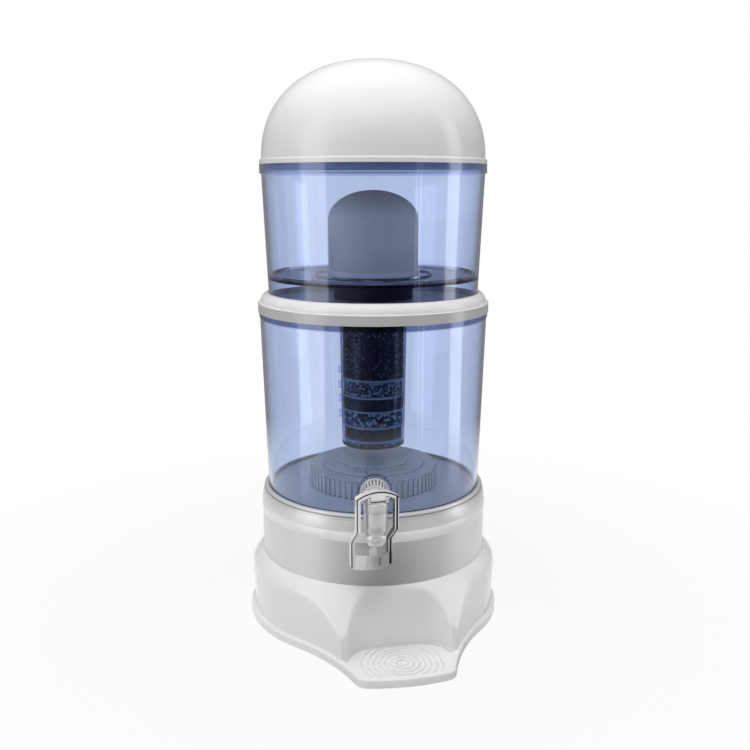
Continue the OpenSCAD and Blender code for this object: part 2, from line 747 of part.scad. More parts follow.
module cartridge_shell() {
    flange_r = cap_r - cap_wall - shell_flange_gap;
    color(tint) {
        turned([
            [cartridge_foot_r - shell_wall, shell_z], [cartridge_foot_r, shell_z],
            [cartridge_r, shell_flange_z], [flange_r, shell_flange_z], [flange_r, cap_underside_z],
            [flange_r - shell_flange_w - shell_wall, cap_underside_z],
            [cartridge_r - shell_wall, shell_flange_z]]);
        for (share = clip_share) let (z = media_z + media_h * share)
            rotate([0, 0, clip_turn]) translate([-clip_w / 2, -shell_r(z) - clip_out, z - clip_h / 2])
                cube([clip_w, clip_out + shell_wall / 2, clip_h]);
    }
}

module cartridge_foot() {
    plug_r = cartridge_foot_r - shell_wall - shell_flange_gap;
    color(tint) difference() {
        union() {
            translate([0, 0, cartridge_foot_z]) cylinder(r = cartridge_foot_r, h = foot_t);
            translate([0, 0, cartridge_foot_z]) cylinder(r = plug_r, h = foot_t + foot_plug_h);
        }
        for (i = [0 : foot_holes - 1]) rotate([0, 0, 360 * i / foot_holes])
            translate([plug_r * foot_hole_reach_share, 0, cartridge_foot_z - cut])
                cylinder(r = foot_hole_r, h = foot_t + foot_plug_h + 2 * cut);
    }
}

// One layer inside the shell, which tapers as the shell does
module layer(z0, z1) {
    translate([0, 0, z0]) cylinder(r1 = shell_r(z0) - shell_wall - shell_flange_gap,
        r2 = shell_r(z1) - shell_wall - shell_flange_gap, h = z1 - z0);
}

module coarse_carbon_bed() { color(dark) layer(bed_bottom(0), bed_top(0)); }
module mineral_ball_bed() { color(grit) layer(bed_bottom(1), bed_top(1)); }
module zeolite_bed() { color(dark) layer(bed_bottom(2), bed_top(2)); }
module silica_bed() { color(grit) layer(bed_bottom(3), bed_top(3)); }
module carbon_bed() { color(dark) layer(bed_bottom(4), bed_top(4)); }

module filter_pads() {
    color(white) {
        layer(media_z, media_z + pad_t);
        for (i = [0 : len(bed_top_share) - 1]) layer(bed_top(i), bed_top(i) + pad_t);
    }
}

// Outline of the ribbed wall of the mineral case
function ribbed(r, depth, count) = [for (i = [0 : count - 1], k = [0 : 3])
    let (a = 360 * (i + rib_fill_share * (k < 2 ? 0 : 1)) / count)
        (k == 1 || k == 2 ? r : r - depth) * dir(a)];

module mineral_case() {
    floor_in = case_r - rib_depth - case_wall;
    color(tint) difference() {
        translate([0, 0, lower_floor_z]) linear_extrude(case_h)
            polygon(ribbed(case_r, rib_depth, case_ribs));
        translate([0, 0, lower_floor_z + case_wall]) cylinder(r = floor_in, h = case_h);
    }
}

// Slanted slots through the raised part of the cover
module cover_slots() {
    for (turn = slot_turns, i = [0 : slot_count - 1])
        rotate([0, 0, turn])
            translate([(i - (slot_count - 1) / 2) * slot_pitch, -slot_reach, case_lid_z - cut])
            rotate([0, 0, slot_lean]) translate([-slot_w / 2, -slot_len / 2, 0])
                cube([slot_w, slot_len, case_step_h + case_lid_t + 2 * cut]);
}

module case_cover() {
    top_z = case_lid_z + case_lid_t + case_step_h;
    color(tint) difference() {
        union() {
            translate([0, 0, case_lid_z]) cylinder(r = case_r - rib_depth, h = case_lid_t);
            translate([0, 0, case_lid_z]) cylinder(r = case_step_r, h = case_lid_t + case_step_h);
            translate([0, 0, case_lid_z]) cylinder(r = case_centre_r, h = case_lid_t + case_step_h
                + case_centre_h, $fn = case_centre_sides);
        }
        translate([0, 0, case_lid_z - cut]) {
            cylinder(r = case_step_r - case_wall, h = cut + case_step_h);
            cylinder(r = case_centre_r - case_wall, h = cut + case_step_h + case_centre_h,
                $fn = case_centre_sides);
        }
        cover_slots();
    }
}

module mineral_stones() {
    color(grit) translate([0, 0, lower_floor_z + case_wall])
        cylinder(r = case_r - rib_depth - case_wall - shell_flange_gap,
            h = (case_h - case_wall) * stones_fill_share);
}

module tap_washer_outer() {
    color(dark) difference() {
        along_shank(shank_r + tap_washer_w, tap_face, tap_face + tap_washer_t);
        along_shank(shank_r + run, tap_face - cut, tap_face + tap_washer_t + cut);
    }
}

module tap_washer_inner() {
    color(dark) difference() {
        along_shank(shank_r + tap_washer_w, tap_back - tap_washer_t, tap_back);
        along_shank(shank_r + run, tap_back - tap_washer_t - cut, tap_back + cut);
    }
}

module tap_shank_nut() {
    nut_face = tap_back - tap_washer_t;
    color(white) difference() {
        on_shank() translate([0, tank_nut_t - nut_face, shank_z]) rotate([90, 0, 0])
            cylinder(r = tank_nut_r, h = tank_nut_t, $fn = 6);
        along_shank(shank_r + run, nut_face - tank_nut_t - cut, nut_face + cut);
    }
}

module tap_collar_nut() {
    start = tap_face + tap_washer_t;
    color(white) difference() {
        union() {
            along_shank(collar_r, start, start + collar_flange_t);
            on_shank() translate([0, -start, shank_z]) rotate([90, 0, 0])
                linear_extrude(collar_len) polygon(ribbed(collar_r - collar_taper,
                    collar_rib_depth, collar_ribs));
        }
        along_shank(shank_r + run, start - cut, start + collar_len + cut);
    }
}

module tap_body() {
    shoulder_start = tap_face + tap_washer_t + collar_len;
    tail = tap_back - tap_washer_t - tank_nut_t - shank_tail;
    color(chrome) difference() {
        union() {
            on_shank() translate([0, -barrel_reach, barrel_z]) turned(concat([[0, 0]],
                [for (s = barrel_shares) [s[0] * barrel_r, s[1] * barrel_h]], [[0, barrel_h]]));
            along_shank(shank_r, tail, barrel_reach);
            along_shank(shank_r + shoulder_w, shoulder_start, barrel_reach - barrel_r + bonnet_in - run);
        }
        along_shank(shank_bore_r, tail - cut, barrel_reach);
        on_shank() translate([0, -barrel_reach, 0]) {
            translate([0, 0, valve_seat_z]) cylinder(r = chamber_r, h = barrel_h);
            translate([0, 0, barrel_z - cut]) cylinder(r = spout_bore_r,
                h = valve_seat_z - throat_h - barrel_z + cut);
            translate([0, 0, barrel_z]) cylinder(r = throat_r, h = valve_seat_z - barrel_z + cut);
        }
    }
}

module tap_cap() {
    ear_x = hub_w / 2 + hub_gap;
    color(chrome) at_barrel() difference() {
        union() {
            translate([0, 0, barrel_top_z]) cylinder(r = barrel_r - bonnet_in, h = bonnet_t);
            translate([0, 0, barrel_top_z - bonnet_plug_h]) cylinder(r = chamber_r - run,
                h = bonnet_plug_h + bonnet_t);
            for (x = [-ear_x - ear_t, ear_x]) {
                translate([x, -pivot_ahead - ear_r, barrel_top_z])
                    cube([ear_t, 2 * ear_r, pivot_z - barrel_top_z]);
                translate([x, -pivot_ahead, pivot_z]) rotate([0, 90, 0]) cylinder(r = ear_r, h = ear_t);
            }
        }
        translate([0, 0, barrel_top_z - bonnet_plug_h - cut]) cylinder(r = stem_r + run, h = barrel_h);
        cross_bar(pivot_r + run, pivot_ahead, pivot_z, barrel_r);
    }
}

module lever_pin() {
    color(chrome) at_barrel() cross_bar(pivot_r, pivot_ahead, pivot_z, hub_w / 2 + hub_gap + ear_t);
}

module stem_link_pin() {
    color(chrome) at_barrel() cross_bar(link_r, 0, pivot_z, hub_w / 2);
}

module valve_stem() {
    eye_z = pivot_z - eye_h + eye_up;
    color(chrome) at_barrel() difference() {
        union() {
            translate([0, 0, seal_top_z - seal_hold])
                cylinder(r = stem_r, h = eye_z + run - seal_top_z + seal_hold);
            translate([-eye_half_w, -eye_half_d, eye_z]) cube([2 * eye_half_w, 2 * eye_half_d, eye_h]);
        }
        cross_bar(link_r + link_gap, 0, pivot_z, hub_w);
    }
}

module valve_seal() {
    seat_face_z = valve_seat_z + seal_gap;
    tip_r = throat_r - 2 * run;
    color(dark) at_barrel() turned([
        [0, seat_face_z - seal_tip_h], [seal_tip_r, seat_face_z - seal_tip_h],
        [tip_r, seat_face_z], [seal_r, seat_face_z], [seal_r, seal_top_z], [stem_r, seal_top_z],
        [stem_r, seal_top_z - seal_hold], [0, seal_top_z - seal_hold]]);
}

// Coil spring, swept as rings of points along a helix
module valve_spring() {
    rings = spring_turns * spring_steps;
    rise = (spring_top_z - spring_z) / rings;
    points = [for (i = [0 : rings], k = [0 : spring_sides - 1])
        let (a = 360 * i / spring_steps, b = 360 * k / spring_sides, r = spring_r + spring_wire_r * cos(b))
        [r * cos(a), r * sin(a), spring_z + rise * i + spring_wire_r * sin(b)]];
    color(chrome) at_barrel() polyhedron(points = points, faces = concat(
        [[for (k = [0 : spring_sides - 1]) k]],
        [for (i = [0 : rings - 1], k = [0 : spring_sides - 1])
            [i * spring_sides + k, (i + 1) * spring_sides + k,
             (i + 1) * spring_sides + (k + 1) % spring_sides, i * spring_sides + (k + 1) % spring_sides]],
        [[for (k = [spring_sides - 1 : -1 : 0]) rings * spring_sides + k]]));
}

// Front outline of the loop above the step, drawn in by d and let down by drop
module loop_plan(d, drop) {
    intersection() {
        translate([-arch_half_w + d, bar_bottom_z - drop])
            square([lever_w - 2 * d, arch_top_z - bar_bottom_z + drop]);
        translate([0, arch_centre_z]) circle(r = arch_r - d);
    }
}

// Upright slice of the lever, from one depth behind the barrel's axis to another
module upright(y0, y1) {
    translate([0, y1, 0]) rotate([90, 0, 0]) linear_extrude(y1 - y0) children();
}

// The arched loop and the straight bars down to the step
module lever_loop() {
    difference() {
        upright(-lever_bar_d, 0) loop_plan(0, 0);
        upright(-lever_bar_d - cut, cut) loop_plan(lever_bar_w, cut);
    }
}

// The side bars' step to the back and their lower ends
module lever_steps() {
    for (x = [-arch_half_w, arch_half_w - lever_bar_w]) {
        translate([x, 0, 0]) rotate([90, 0, 90]) linear_extrude(lever_bar_w) polygon([
            [-lever_bar_d, bar_bottom_z], [0, bar_bottom_z], [lever_step, step_bottom_z],
            [lever_step, paddle_z + paddle_t], [lever_step - lever_bar_d, paddle_z + paddle_t],
            [lever_step - lever_bar_d, step_bottom_z]]);
    }
}

// Curved sheet of the paddle, bulging forward between the bars
module paddle_sheet(z, h, half_w) {
    intersection() {
        translate([0, paddle_front + paddle_r, z]) difference() {
            cylinder(r = paddle_r, h = h);
            translate([0, 0, -cut]) cylinder(r = paddle_r - paddle_t, h = h + 2 * cut);
        }
        translate([-half_w, paddle_front - cut, z]) cube([2 * half_w, paddle_bulge + paddle_t + cut, h]);
    }
}

module lever_paddle() {
    tab_top_z = paddle_z + paddle_h + paddle_tab_h;
    paddle_sheet(paddle_z, paddle_h, paddle_half_w + lever_bar_w / 2);
    paddle_sheet(paddle_z, paddle_h + paddle_tab_h, paddle_tab_w / 2);
    upright(paddle_front, paddle_front + paddle_t) translate([0, tab_top_z]) circle(r = paddle_tab_w / 2);
    for (i = [0 : grip_bars - 1]) translate([(i - (grip_bars - 1) / 2) * grip_pitch, 0, 0])
        paddle_grip();
}

// One raised grip bar on the face of the paddle
module paddle_grip() {
    translate([-grip_bar_w / 2, paddle_front - grip_out, paddle_z + (paddle_h - grip_bar_h) / 2])
        cube([grip_bar_w, grip_out + paddle_t, grip_bar_h]);
}

// Block under the arch that turns on the pivot pin and holds the stem's eye
module lever_hub() {
    hub_z = pivot_z - hub_lift;
    difference() {
        union() {
            translate([-hub_w / 2, -pivot_ahead, hub_z])
                cube([hub_w, pivot_ahead + hub_back, arch_top_z - lever_bar_w - hub_z + cut]);
            translate([-hub_w / 2, -pivot_ahead - hub_r, pivot_z])
                cube([hub_w, hub_r + cut, arch_top_z - lever_bar_w - pivot_z + cut]);
            cross_bar(hub_r, pivot_ahead, pivot_z, hub_w / 2);
        }
        translate([-slot_half_w, -slot_ahead, hub_z - cut])
            cube([2 * slot_half_w, slot_ahead + hub_back + cut, arch_top_z - lever_bar_w - hub_z + cut]);
        cross_bar(pivot_r + run, pivot_ahead, pivot_z, hub_w);
        cross_bar(link_r + run, 0, pivot_z, hub_w);
    }
}

module tap_lever() {
    color(chrome) at_barrel() {
        lever_loop();
        lever_steps();
        lever_paddle();
        lever_hub();
    }
}

base_plate();
base_skirt();
stand_neck();
neck_trim();
seat_ring();
base_screws();
lower_tank();
tap_collar_nut();
tap_shank_nut();
tap_washer_outer();
tap_washer_inner();
tap_body();
tap_cap();
lever_pin();
mineral_case();
case_cover();
mineral_stones();
tap_lever();
stem_link_pin();
valve_stem();
valve_seal();
valve_spring();
upper_tank();
divider_ring();
ceramic_dome();
ceramic_base();
ceramic_washer();
ceramic_nut();
cartridge_shell();
cartridge_cap();
cartridge_foot();
coarse_carbon_bed();
mineral_ball_bed();
zeolite_bed();
silica_bed();
carbon_bed();
filter_pads();
dome_lid();
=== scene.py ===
import math
import random

import bmesh
import bpy
from mathutils import Euler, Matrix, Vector

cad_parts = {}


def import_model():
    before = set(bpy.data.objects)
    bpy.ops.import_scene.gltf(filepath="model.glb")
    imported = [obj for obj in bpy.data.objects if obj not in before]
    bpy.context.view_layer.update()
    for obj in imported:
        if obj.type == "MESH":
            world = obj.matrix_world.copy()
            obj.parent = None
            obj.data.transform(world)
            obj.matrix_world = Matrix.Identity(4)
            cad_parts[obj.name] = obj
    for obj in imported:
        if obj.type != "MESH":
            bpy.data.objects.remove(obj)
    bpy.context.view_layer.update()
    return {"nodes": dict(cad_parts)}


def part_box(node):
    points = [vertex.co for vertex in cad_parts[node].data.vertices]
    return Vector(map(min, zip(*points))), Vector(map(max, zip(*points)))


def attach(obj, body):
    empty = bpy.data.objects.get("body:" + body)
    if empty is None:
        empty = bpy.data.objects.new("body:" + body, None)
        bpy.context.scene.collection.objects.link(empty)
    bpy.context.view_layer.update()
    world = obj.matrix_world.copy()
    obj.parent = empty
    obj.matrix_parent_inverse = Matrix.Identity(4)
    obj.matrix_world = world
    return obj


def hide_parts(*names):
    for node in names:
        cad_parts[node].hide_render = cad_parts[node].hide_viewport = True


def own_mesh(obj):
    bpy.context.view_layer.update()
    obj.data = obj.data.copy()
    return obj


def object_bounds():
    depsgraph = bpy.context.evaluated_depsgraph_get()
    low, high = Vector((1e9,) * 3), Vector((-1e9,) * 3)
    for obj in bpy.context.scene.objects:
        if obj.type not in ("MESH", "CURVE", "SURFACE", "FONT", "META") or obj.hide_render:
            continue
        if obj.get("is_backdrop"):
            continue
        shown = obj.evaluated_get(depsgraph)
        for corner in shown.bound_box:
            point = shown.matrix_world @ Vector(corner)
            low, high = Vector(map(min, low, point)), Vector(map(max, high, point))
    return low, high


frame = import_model()
MM = 0.001


# Small helpers for material trees

def new_material(name):
    """A material with its node tree and its Principled shader."""
    made = bpy.data.materials.new(name)
    made.use_nodes = True
    tree = made.node_tree
    return made, tree, tree.nodes["Principled BSDF"]


def add(tree, kind, **settings):
    """A node of that kind with these settings."""
    made = tree.nodes.new("ShaderNode" + kind)
    for key, value in settings.items():
        setattr(made, key, value)
    return made


def place(tree):
    """Coordinates in metres in the model's frame."""
    for found in tree.nodes:
        if found.type == "TEX_COORD":
            return found.outputs["Object"]
    return add(tree, "TexCoord").outputs["Object"]


def parts_of(tree, vector):
    """The vector's X, Y and Z, by those names."""
    made = add(tree, "SeparateXYZ")
    tree.links.new(vector, made.inputs["Vector"])
    return made.outputs


def noise(tree, size, detail):
    """Noise with features of that size in metres, from 0 to 1."""
    made = add(tree, "TexNoise")
    made.inputs["Scale"].default_value = 1 / size
    made.inputs["Detail"].default_value = detail
    tree.links.new(place(tree), made.inputs["Vector"])
    return made.outputs["Fac"]


def between(tree, source, low, high, start=0.3, end=0.7):
    """The source turned from start..end into low..high."""
    made = add(tree, "MapRange")
    made.inputs["From Min"].default_value = start
    made.inputs["From Max"].default_value = end
    made.inputs["To Min"].default_value = low
    made.inputs["To Max"].default_value = high
    tree.links.new(source, made.inputs["Value"])
    return made.outputs["Result"]


def colour_ramp(tree, source, stops, interpolation="LINEAR"):
    """The source's colour among stops of (place, colour), which are in rising order."""
    made = add(tree, "ValToRGB")
    made.color_ramp.interpolation = interpolation
    marks = made.color_ramp.elements
    for number, (at, colour) in enumerate(stops):
        if number < 2:
            marks[number].position = at
        else:
            marks.new(at)
        marks[number].color = (*colour, 1)
    tree.links.new(source, made.inputs["Fac"])
    return made.outputs["Color"]


def blend_colours(tree, source, dark, light, start=0.3, end=0.7):
    """A colour between dark and light, by the source."""
    return colour_ramp(tree, source, [(start, dark), (end, light)])


def math_node(tree, operation, one, other):
    """One value from two others, of which the last may be a plain number."""
    made = add(tree, "Math", operation=operation)
    tree.links.new(one, made.inputs[0])
    if isinstance(other, (int, float)):
        made.inputs[1].default_value = other
    else:
        tree.links.new(other, made.inputs[1])
    return made.outputs["Value"]


def mix_shaders(tree, share, one, other):
    """One shader that turns into the other as the share goes from 0 to 1."""
    made = add(tree, "MixShader")
    tree.links.new(share, made.inputs[0])
    tree.links.new(one, made.inputs[1])
    tree.links.new(other, made.inputs[2])
    return made.outputs["Shader"]


def emitter(tree, kind, strength=1.0, colour=None):
    """White light of that kind and strength, or light of the linked colour."""
    made = add(tree, kind)
    made.inputs["Strength"].default_value = strength
    made.inputs["Color"].default_value = (1, 1, 1, 1)
    if colour is not None:
        tree.links.new(colour, made.inputs["Color"])
    return made.outputs[0]


def relief(tree, shader, height, depth, rounding=0.0):
    """Bump of that depth in metres, over edges that look rounded by that radius."""
    made = add(tree, "Bump")
    made.inputs["Distance"].default_value = depth
    made.inputs["Strength"].default_value = 1.0
    tree.links.new(height, made.inputs["Height"])
    if rounding:
        soft = add(tree, "Bevel", samples=4)
        soft.inputs["Radius"].default_value = rounding
        tree.links.new(soft.outputs["Normal"], made.inputs["Normal"])
    tree.links.new(made.outputs["Normal"], shader.inputs["Normal"])


def shaded_corners(tree, colour, reach, darkest):
    """Painted shade: the colour, down to that share of it in corners and grooves narrower than the
    reach.
    """
    openness = add(tree, "AmbientOcclusion", samples=8)
    openness.inputs["Distance"].default_value = reach
    scaled = add(tree, "VectorMath", operation="SCALE")
    tree.links.new(colour, scaled.inputs[0])
    share = between(tree, openness.outputs["AO"], darkest, 1, 0.25, 0.8)
    tree.links.new(share, scaled.inputs["Scale"])
    return scaled.outputs["Vector"]


def moulded(name, dark, light, rough, peel=1.6 * MM, peel_depth=0.004 * MM, rounding=0.5 * MM,
            corners=None, **sockets):
    """Moulded or plated finish: faint clouding, uneven gloss and a fine orange peel. With corners, shade
    is painted into corners and grooves.
    """
    made, tree, shader = new_material(name)
    cloud = noise(tree, 60 * MM, 3)
    colour = blend_colours(tree, cloud, dark, light)
    if corners:
        colour = shaded_corners(tree, colour, *corners)
    tree.links.new(colour, shader.inputs["Base Color"])
    gloss = noise(tree, 18 * MM, 4)
    tree.links.new(between(tree, gloss, *rough), shader.inputs["Roughness"])
    relief(tree, shader, noise(tree, peel, 1), peel_depth, rounding)
    for key, value in sockets.items():
        shader.inputs[key.replace("_", " ")].default_value = value
    return made


def paint_shade_by_height(made, steps):
    """Paints shade: scales a material's colour by the share at each height, given in millimetres."""
    tree = made.node_tree
    shader = tree.nodes["Principled BSDF"]
    lowest, highest = steps[0][0], steps[-1][0]
    stops = [((height - lowest) / (highest - lowest), [share] * 3) for height, share in steps]
    height = parts_of(tree, place(tree))["Z"]
    tone = colour_ramp(tree, between(tree, height, 0, 1, lowest * MM, highest * MM), stops)
    scaled = add(tree, "VectorMath", operation="MULTIPLY")
    colour = shader.inputs["Base Color"].links[0].from_socket
    tree.links.new(colour, scaled.inputs[0])
    tree.links.new(tone, scaled.inputs[1])
    tree.links.new(scaled.outputs["Vector"], shader.inputs["Base Color"])


def clear(name, tint, bands, rough, absorb, density, ior=1.5, milky=0.0, frost=None, corners=None):
    """Clear moulded plastic: its wall absorbs light, and the tint is deeper at the heights in bands,
    which paint shade there. With corners, shade is painted into its grooves.

    The milky share scatters light, as all that lies below the frost height does.
    """
    lowest = 140 * MM
    highest = 520 * MM
    frost_white = (0.92, 0.96, 1.0)
    frost_fade = 0.3 * MM
    wave = 0.012 * MM
    made, tree, shader = new_material(name)
    height = parts_of(tree, place(tree))["Z"]
    shader.inputs["Transmission Weight"].default_value = 1 - milky
    bottom = tint
    marks = []
    if frost:
        frost_top, frosted = frost
        bottom = frost_white
        marks += [(frost_top, frost_white), (frost_top + frost_fade, tint)]
        seen_through = between(tree, height, 1 - frosted, 1, frost_top, frost_top + frost_fade)
        tree.links.new(seen_through, shader.inputs["Transmission Weight"])
    for start, end, deep, fade in bands:
        marks += [(start, tint), (start + fade, deep), (end - fade, deep), (end, tint)]
    stops = [((at - lowest) / (highest - lowest), colour) for at, colour in marks]
    stops = [(0, bottom)] + stops + [(1, tint)]
    colour = colour_ramp(tree, between(tree, height, 0, 1, lowest, highest), stops)
    if corners:
        colour = shaded_corners(tree, colour, *corners)
    tree.links.new(colour, shader.inputs["Base Color"])
    shader.inputs["IOR"].default_value = ior
    gloss = noise(tree, 25 * MM, 3)
    tree.links.new(between(tree, gloss, *rough), shader.inputs["Roughness"])
    relief(tree, shader, noise(tree, 14 * MM, 1), wave)
    depths = add(tree, "VolumeAbsorption")
    depths.inputs["Color"].default_value = (*absorb, 1)
    depths.inputs["Density"].default_value = density
    out = tree.nodes["Material Output"]
    tree.links.new(depths.outputs["Volume"], out.inputs["Volume"])
    return made


def chrome_with_painted_reflections(name, light, dark, rough, shine, turned, middle, half_w, bar_w, paddle_top, arch_centre,
                 arch_r):
    """Chrome with painted reflections and painted shade: dark lines along the loop's front edges and
    arch, dark faces inside the loop, and a paddle that is painted darker towards its right.

    The loop is turned about Z by that angle round its middle, and the paddle lies below that height.
    The loop's top is an arch of that radius round its centre.
    """
    made, tree, shader = new_material(name)
    facing = add(tree, "VectorRotate", rotation_type="Z_AXIS")
    facing.inputs["Angle"].default_value = -turned
    tree.links.new(add(tree, "TexCoord").outputs["Normal"], facing.inputs["Vector"])
    normal = parts_of(tree, facing.outputs["Vector"])
    straight = add(tree, "VectorRotate", rotation_type="Z_AXIS")
    straight.inputs["Angle"].default_value = -turned
    straight.inputs["Center"].default_value = middle
    tree.links.new(place(tree), straight.inputs["Vector"])
    spots = parts_of(tree, straight.outputs["Vector"])
    middle_x = middle[0]
    left_edge = middle_x - half_w
    right_edge = middle_x + half_w
    left_line_w = 1.1 * MM
    right_line_w = 0.9 * MM
    arch_line_w = 1.6 * MM
    soft = 0.25 * MM

    def before(value, edge):
        """1 up to the edge and 0 past it."""
        return between(tree, value, 1, 0, edge, edge + soft)

    def past(value, edge):
        """0 up to the edge and 1 past it."""
        return between(tree, value, 0, 1, edge, edge + soft)

    # Painted reflection: dark lines along the loop's front edges and the arch, and dark faces inside the
    # loop.
    front = between(tree, normal["Y"], 0, 1, -0.3, -0.5)
    left_line = before(spots["X"], left_edge + left_line_w)
    right_start = past(spots["X"], right_edge - bar_w + right_line_w)
    right_end = before(spots["X"], right_edge - right_line_w)
    right_line = math_node(tree, "MULTIPLY", right_start, right_end)
    lines = math_node(tree, "MULTIPLY", math_node(tree, "MAXIMUM", left_line, right_line), front)
    from_centre = add(tree, "VectorMath", operation="SUBTRACT")
    from_centre.inputs[1].default_value = arch_centre
    tree.links.new(straight.outputs["Vector"], from_centre.inputs[0])
    upright = add(tree, "VectorMath", operation="MULTIPLY")
    upright.inputs[1].default_value = (1, 0, 1)
    tree.links.new(from_centre.outputs["Vector"], upright.inputs[0])
    reach = add(tree, "VectorMath", operation="LENGTH")
    tree.links.new(upright.outputs["Vector"], reach.inputs[0])
    arch_edge = past(reach.outputs["Value"], arch_r - arch_line_w)
    above_centre = past(spots["Z"], arch_centre[2])
    arch_line = math_node(tree, "MULTIPLY", math_node(tree, "MULTIPLY", arch_edge, front), above_centre)
    side = between(tree, spots["X"], -1, 1, middle_x - 1 * MM, middle_x + 1 * MM)
    inwards = math_node(tree, "MULTIPLY", normal["X"], side)
    inner_face = between(tree, inwards, 0, 1, -0.5, -0.8)
    painted_reflection_share = math_node(tree, "MAXIMUM", math_node(tree, "MAXIMUM", lines, arch_line), inner_face)
    # Painted shade: the paddle goes from the light colour on its left to a darker copy on its right.
    shaded = [0.42 * part for part in light]
    across = between(tree, spots["X"], 0, 1, left_edge, right_edge)
    painted_paddle_shade = blend_colours(tree, across, light, shaded, 0.35, 0.8)
    on_paddle = between(tree, spots["Z"], 1, 0, paddle_top, paddle_top + 0.5 * MM)
    paddle_tone = add(tree, "Mix", data_type="RGBA")
    paddle_tone.inputs[6].default_value = (*light, 1)
    tree.links.new(on_paddle, paddle_tone.inputs[0])
    tree.links.new(painted_paddle_shade, paddle_tone.inputs[7])
    final_tone = add(tree, "Mix", data_type="RGBA")
    tree.links.new(painted_reflection_share, final_tone.inputs[0])
    tree.links.new(paddle_tone.outputs[2], final_tone.inputs[6])
    final_tone.inputs[7].default_value = (*dark, 1)
    tree.links.new(final_tone.outputs[2], shader.inputs["Base Color"])
    tree.links.new(between(tree, noise(tree, 18 * MM, 4), *rough), shader.inputs["Roughness"])
    relief(tree, shader, noise(tree, 1.6 * MM, 1), 0.002 * MM)
    shader.inputs["Metallic"].default_value = shine
    return made


def granular(name, dark, light, size, depth, rough, shine):
    """Packed grains: each cell has its own tone and a rounded top."""
    made, tree, shader = new_material(name)
    cells = add(tree, "TexVoronoi")
    cells.inputs["Scale"].default_value = 1 / size
    tree.links.new(place(tree), cells.inputs["Vector"])
    tone = add(tree, "SeparateColor")
    tree.links.new(cells.outputs["Color"], tone.inputs["Color"])
    colour = blend_colours(tree, tone.outputs["Red"], dark, light, 0.25, 0.75)
    tree.links.new(colour, shader.inputs["Base Color"])
    tree.links.new(between(tree, tone.outputs["Green"], *rough, 0, 1), shader.inputs["Roughness"])
    lumps = between(tree, cells.outputs["Distance"], 1, 0, 0, 0.7)
    relief(tree, shader, lumps, depth)
    shader.inputs["Specular IOR Level"].default_value = shine
    return made


def grains(name, tones, rough, fine, shine=0.5):
    """Loose grains: each lump of the mesh has one of these tones, with a fine roughness."""
    made, tree, shader = new_material(name)
    lump = add(tree, "NewGeometry").outputs["Random Per Island"]
    tree.links.new(colour_ramp(tree, lump, tones, "CONSTANT"), shader.inputs["Base Color"])
    tree.links.new(between(tree, noise(tree, 6 * fine, 2), *rough), shader.inputs["Roughness"])
    relief(tree, shader, noise(tree, fine, 3), 0.15 * fine)
    shader.inputs["Specular IOR Level"].default_value = shine
    return made


def finish_with(made, *names):
    """Gives CAD nodes a material."""
    for name in names:
        piece = frame["nodes"][name]
        if not piece.material_slots:
            piece.data.materials.append(made)
        for spot in piece.material_slots:
            spot.material = made


joined_within = 0.004 * MM
sharp_angle = math.radians(28)
bevelled_angle = math.radians(35)


def smooth_group():
    """Geometry nodes that join the split corners of a CAD mesh and keep only real edges sharp."""
    made = bpy.data.node_groups.new("smooth_moulding", "GeometryNodeTree")
    made.interface.new_socket("Geometry", in_out="INPUT", socket_type="NodeSocketGeometry")
    made.interface.new_socket("Geometry", in_out="OUTPUT", socket_type="NodeSocketGeometry")
    start = made.nodes.new("NodeGroupInput")
    end = made.nodes.new("NodeGroupOutput")
    plain_normals = made.nodes.new("GeometryNodeRemoveAttribute")
    plain_normals.inputs["Name"].default_value = "custom_normal"
    join = made.nodes.new("GeometryNodeMergeByDistance")
    join.inputs["Distance"].default_value = joined_within
    faces = made.nodes.new("GeometryNodeSetShadeSmooth")
    faces.domain = "FACE"
    edges = made.nodes.new("GeometryNodeSetShadeSmooth")
    edges.domain = "EDGE"
    edges.inputs["Shade Smooth"].default_value = True
    angle = made.nodes.new("GeometryNodeInputMeshEdgeAngle")
    sharp = made.nodes.new("FunctionNodeCompare")
    sharp.operation = "GREATER_THAN"
    sharp.inputs["B"].default_value = sharp_angle
    hard = made.nodes.new("GeometryNodeSetShadeSmooth")
    hard.domain = "EDGE"
    hard.inputs["Shade Smooth"].default_value = False
    chain = [start, plain_normals, join, faces, edges, hard, end]
    for one, other in zip(chain, chain[1:]):
        made.links.new(one.outputs["Geometry"], other.inputs["Geometry"])
    made.links.new(angle.outputs["Unsigned Angle"], sharp.inputs["A"])
    made.links.new(sharp.outputs["Result"], hard.inputs["Selection"])
    return made


smoothing = smooth_group()
for piece in frame["nodes"].values():
    piece.modifiers.new("smooth_moulding", "NODES").node_group = smoothing
for name, width in (("tap_lever", 0.8 * MM), ("tap_cap", 0.4 * MM)):
    piece = frame["nodes"][name]
    rounded = piece.modifiers.new("rounded_edges", "BEVEL")
    rounded.width = width
    rounded.segments = 3
    rounded.limit_method = "ANGLE"
    rounded.angle_limit = bevelled_angle
    piece.modifiers.new("smooth_again", "NODES").node_group = smoothing


# Materials of the record's slots

white = moulded("white_plastic", (0.88, 0.885, 0.9), (0.93, 0.93, 0.94), (0.16, 0.24))
stand_white = moulded("white_plastic_stand", (0.94, 0.94, 0.945), (0.97, 0.97, 0.97), (0.16, 0.24))
# Painted shade: a darker copy of the white plastic for the lid, whose top the top lamp lights most.
lid_white_dimmed = moulded("white_plastic_lid", (0.84, 0.84, 0.84), (0.88, 0.88, 0.88), (0.16, 0.24))
silver = moulded("silver_plastic", (0.66, 0.665, 0.67), (0.71, 0.715, 0.72), (0.285, 0.34),
                 Metallic=0.5, rounding=0)
